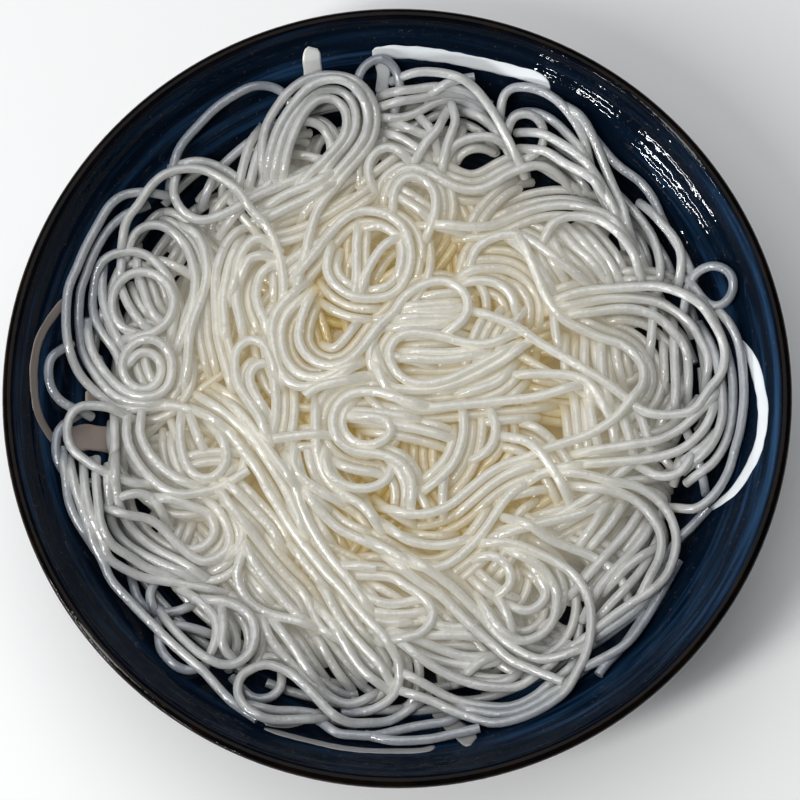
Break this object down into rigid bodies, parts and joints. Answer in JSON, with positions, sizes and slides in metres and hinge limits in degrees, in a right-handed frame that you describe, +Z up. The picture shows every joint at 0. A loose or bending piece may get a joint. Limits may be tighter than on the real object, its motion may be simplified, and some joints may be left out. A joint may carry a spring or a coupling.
{
  "type": "deep plate of cooked rice vermicelli",
  "caption": "Deep plate in dark blue glaze, heaped with loose loops of wet, white, cooked rice vermicelli",
  "frame": {"origin": "on the table, under the centre of the plate's foot ring", "axes": "+Z up out of the plate; +Y towards the edge that is at the top of the picture; +X towards the edge at its right"},
  "size_m": [0.21, 0.21, 0.048],
  "materials": {
    "blue_glaze": "gloss",
    "cooked_rice": "wet"
  },
  "bodies": {
    "root": {"dish": "blue_glaze", "vermicelli": "cooked_rice"}
  },
  "joints": []
}
